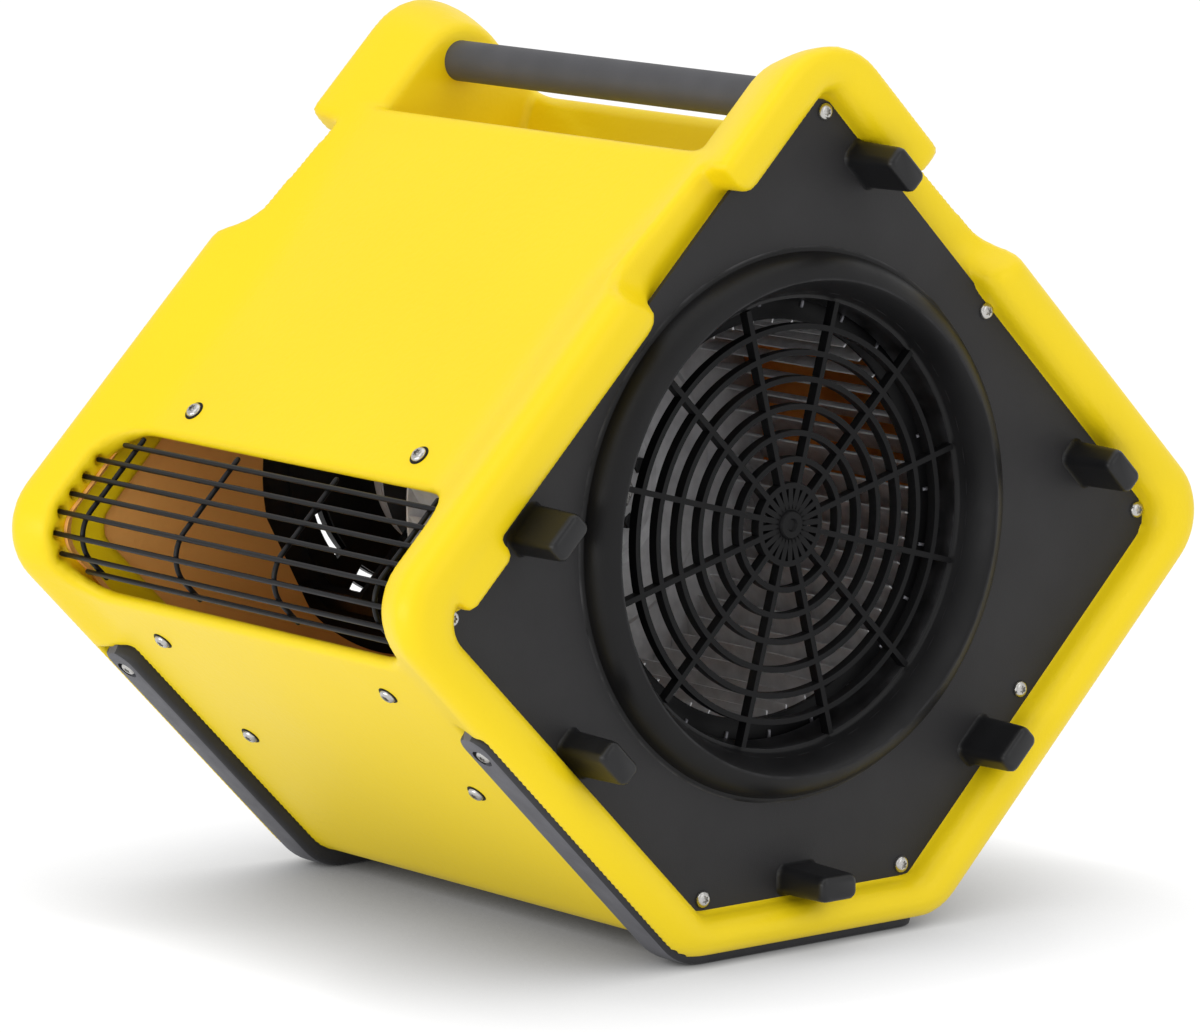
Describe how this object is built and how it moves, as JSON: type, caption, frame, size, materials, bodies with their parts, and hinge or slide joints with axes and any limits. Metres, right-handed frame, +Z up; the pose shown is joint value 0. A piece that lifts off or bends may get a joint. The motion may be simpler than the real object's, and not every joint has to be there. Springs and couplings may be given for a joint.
{
  "type": "radial air mover",
  "caption": "Portable blower with a diamond-section moulded housing, guarded side inlet, wire-guarded front outlet, tube handle and two base skids.",
  "frame": {"origin": "on the floor, below the middle of the housing, midway between the two end plates and between the front and rear corners", "axes": "+X along the fan axis towards the inlet side, -Y towards the outlet, +Z up with the machine standing on its base skids"},
  "size_m": [0.434, 0.6212, 0.529],
  "materials": {
    "yellow_shell": "satin rotationally moulded polyethylene, light skin texture",
    "black_plastic": "fine-grained matte black",
    "gloss_black": "smoother black with a soft sheen",
    "handle_grey": "matte dark grey sleeve",
    "skid_rubber": "matte grey, slightly worn",
    "coated_wire": "black powder coat",
    "steel": "bright stainless",
    "zinc": "galvanised sheet, dull",
    "cast_aluminium": "as cast, satin",
    "lamination": "stacked electrical steel",
    "copper_winding": "varnished winding",
    "grey_plastic": "plain matte"
  },
  "bodies": {
    "machine": {"housing": "yellow_shell", "inlet_plate": "black_plastic", "motor_plate": "black_plastic", "inlet_collar": "black_plastic", "inlet_guard": "black_plastic", "motor_guard": "black_plastic", "handle_tube": "handle_grey", "outlet_grille": "coated_wire", "skid_near": "skid_rubber", "skid_far": "skid_rubber", "motor_casing": "cast_aluminium", "motor_end_bell": "cast_aluminium", "front_bearing": "steel", "rear_bearing": "steel", "stator_core": "lamination", "front_winding": "copper_winding", "rear_winding": "copper_winding", "motor_bracket": "zinc", "run_capacitor": "grey_plastic", "switch_box": "grey_plastic", "cable_gland": "grey_plastic", "inlet_foot_upper": "gloss_black", "inlet_foot_rear": "gloss_black", "inlet_foot_rear_low": "gloss_black", "inlet_foot_base": "gloss_black", "inlet_foot_front_low": "gloss_black", "inlet_foot_front": "gloss_black", "motor_foot_upper": "gloss_black", "motor_foot_rear": "gloss_black", "motor_foot_rear_low": "gloss_black", "motor_foot_base": "gloss_black", "motor_foot_front_low": "gloss_black", "motor_foot_front": "gloss_black", "plate_screw_top": "steel", "plate_screw_rear_up": "steel", "plate_screw_rear": "steel", "plate_screw_rear_low": "steel", "plate_screw_base_rear": "steel", "plate_screw_base_front": "steel", "plate_screw_front": "steel", "plate_screw_front_up": "steel", "upper_screw_near": "steel", "skid_screw_near": "steel", "upper_screw_far": "steel", "skid_screw_far": "steel", "lower_screw_high_near": "steel", "lower_screw_high_far": "steel", "lower_screw_low_near": "steel", "lower_screw_low_far": "steel"},
    "rotor": {"impeller": "zinc", "impeller_hub": "cast_aluminium", "hub_nut": "steel", "motor_shaft": "steel", "rotor_core": "lamination"},
    "knob": {"speed_knob": "gloss_black"}
  },
  "joints": [
    {"name": "impeller_spin", "type": "hinge", "parent": "machine", "child": "rotor", "pos_m": [0, -0.01, 0.251], "axis": [-1, 0, 0], "continuous": true},
    {"name": "speed_select", "type": "hinge", "parent": "machine", "child": "knob", "pos_m": [-0.188, 0.208, 0.205], "axis": [-1, 0, 0], "range_deg": [0, 135]}
  ]
}
